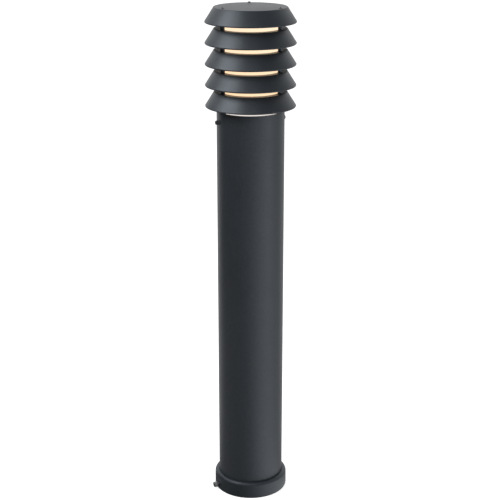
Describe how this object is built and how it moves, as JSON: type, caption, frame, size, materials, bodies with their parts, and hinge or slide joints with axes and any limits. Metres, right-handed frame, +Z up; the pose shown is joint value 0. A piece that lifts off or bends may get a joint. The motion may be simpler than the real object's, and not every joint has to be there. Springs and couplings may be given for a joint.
{
  "type": "bollard light",
  "caption": "Bollard light: plain round column in a cast foot, louvred lamp head with an opal tube and a lift-off cap held by long tie screws.",
  "frame": {"origin": "centre of the foot's underside, on the ground", "axes": "+Z up along the column; -Y is the side seen from the front; the foot clamp screws lie at azimuths 204 and 84 degrees from +X"},
  "size_m": [0.149, 0.149, 0.8519],
  "materials": {
    "graphite_paint": "fine matt powder coat, graphite grey",
    "stainless_steel": "plain stainless steel",
    "dark_steel": "blackened steel, satin",
    "black_rubber": "matt black rubber",
    "pale_silicone": "matt pale silicone",
    "opal_plastic": "opal acrylic tube, lit warm from inside",
    "ceramic": "glazed ceramic",
    "brass": "plain brass",
    "lamp_glass": "frosted lamp glass",
    "nickel_cap": "nickel-plated lamp cap",
    "black_vitrite": "black insulating glass",
    "white_plastic": "white moulded plastic",
    "grey_plastic": "dark grey moulded plastic",
    "brown_sleeve": "brown wire insulation",
    "blue_sleeve": "blue wire insulation",
    "green_sleeve": "green wire insulation"
  },
  "bodies": {
    "bollard": {"base_flange": "graphite_paint", "base_clamp_screws": "stainless_steel", "column_tube": "graphite_paint", "head_base": "graphite_paint", "column_oring": "black_rubber", "head_fixing_screws": "graphite_paint", "head_screw_washers": "grey_plastic", "louvre_ring_1": "graphite_paint", "louvre_ring_2": "graphite_paint", "louvre_ring_3": "graphite_paint", "louvre_ring_4": "graphite_paint", "spacers_1": "graphite_paint", "spacers_2": "graphite_paint", "spacers_3": "graphite_paint", "spacers_4": "graphite_paint", "spacers_5": "graphite_paint", "diffuser": "opal_plastic", "diffuser_seal_bottom": "pale_silicone", "lamp_bracket": "stainless_steel", "bracket_screws": "stainless_steel", "lamp_holder": "ceramic", "holder_screws": "stainless_steel", "holder_shell": "brass", "holder_contact": "brass", "terminal_block": "white_plastic", "terminal_inserts": "brass", "terminal_screws": "stainless_steel", "terminal_fixing_screw": "stainless_steel", "wire_live": "brown_sleeve", "wire_neutral": "blue_sleeve", "wire_earth": "green_sleeve", "earth_screw": "stainless_steel", "earth_lug": "brass", "gland_body": "grey_plastic", "gland_nut": "grey_plastic", "gland_cap": "grey_plastic", "gland_seal": "black_rubber"},
    "cap": {"louvre_cap": "graphite_paint", "diffuser_seal_top": "pale_silicone", "tie_screws": "dark_steel", "tie_screw_washers": "black_rubber"},
    "lamp": {"lamp_glass": "lamp_glass", "lamp_cap_shell": "nickel_cap", "lamp_insulator": "black_vitrite", "lamp_tip": "brass"}
  },
  "joints": [
    {"name": "cap_lift", "type": "slide", "parent": "bollard", "child": "cap", "axis": [0, 0, 1], "range_m": [0, 0.18]},
    {"name": "lamp_turn", "type": "hinge", "parent": "bollard", "child": "lamp", "pos_m": [0, 0, 0.72], "axis": [0, 0, 1], "range_deg": [0, 900]}
  ]
}
